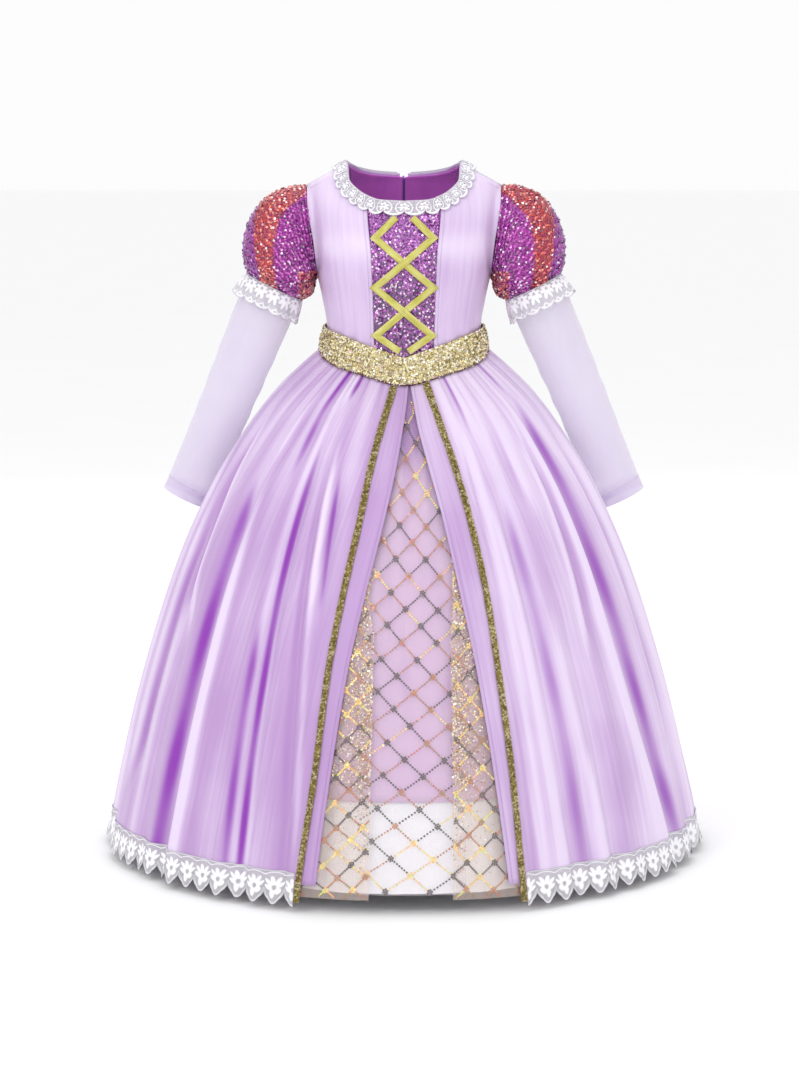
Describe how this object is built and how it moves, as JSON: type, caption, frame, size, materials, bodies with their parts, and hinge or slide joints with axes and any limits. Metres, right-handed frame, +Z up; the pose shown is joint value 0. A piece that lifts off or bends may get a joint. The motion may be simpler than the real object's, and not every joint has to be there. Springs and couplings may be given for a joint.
{
  "type": "princess dress",
  "caption": "Child's long princess dress with laced bodice, short puff sleeves over mesh sleeves, a dipped sequin belt and a full gathered skirt split over a sequin net.",
  "frame": {"origin": "middle of the neck opening at the height where the shoulder seams start, where the wearer's shoulders hold the dress", "axes": "+Z up, +X to the wearer's left, -Y to the front"},
  "size_m": [0.7364, 0.7256, 0.8268],
  "materials": {
    "satin": "lavender satin",
    "centre_sequins": "purple sequin cloth",
    "puff_sequins": "magenta sequin cloth",
    "gold_sequins": "champagne gold sequin cloth",
    "gold_ribbon": "olive gold satin ribbon",
    "gold_braid": "gold metallic braid",
    "white_lace": "white scalloped lace",
    "sequin_net": "net with gold sequins in a lattice",
    "white_net": "white net",
    "pink_underskirt": "pink lavender satin",
    "arm_mesh": "sheer lavender mesh",
    "lining": "magenta satin lining",
    "zip_tape": "woven tape",
    "zip_metal": "painted zinc"
  },
  "bodies": {
    "dress": {"belt": "gold_sequins", "bodice_back_left": "satin", "bodice_back_right": "satin", "bodice_front_left": "satin", "bodice_front_right": "satin", "braid_left": "gold_braid", "braid_right": "gold_braid", "hem_lace_left": "white_lace", "hem_lace_right": "white_lace", "lacing_over": "gold_ribbon", "lacing_under": "gold_ribbon", "lining_back_left": "lining", "lining_back_right": "lining", "neck_lace": "white_lace", "net_centre": "sequin_net", "net_left": "sequin_net", "net_right": "sequin_net", "overskirt_back_left": "satin", "overskirt_back_right": "satin", "overskirt_front_left": "satin", "overskirt_front_right": "satin", "petticoat_front": "white_net", "petticoat_left": "white_net", "petticoat_right": "white_net", "puff_lace_left": "white_lace", "puff_lace_right": "white_lace", "puff_left": "puff_sequins", "puff_right": "puff_sequins", "sleeve_left": "arm_mesh", "sleeve_right": "arm_mesh", "stomacher": "centre_sequins", "underskirt": "pink_underskirt", "zip_slider": "zip_metal", "zip_tape": "zip_tape", "zip_teeth": "zip_metal"},
    "pull": {"zip_pull": "zip_metal"}
  },
  "joints": [
    {"name": "pull_hinge", "type": "hinge", "parent": "dress", "child": "pull", "pos_m": [0, 0.05956, -0.03372], "axis": [1, 0, 0], "range_deg": [0, 150]}
  ]
}
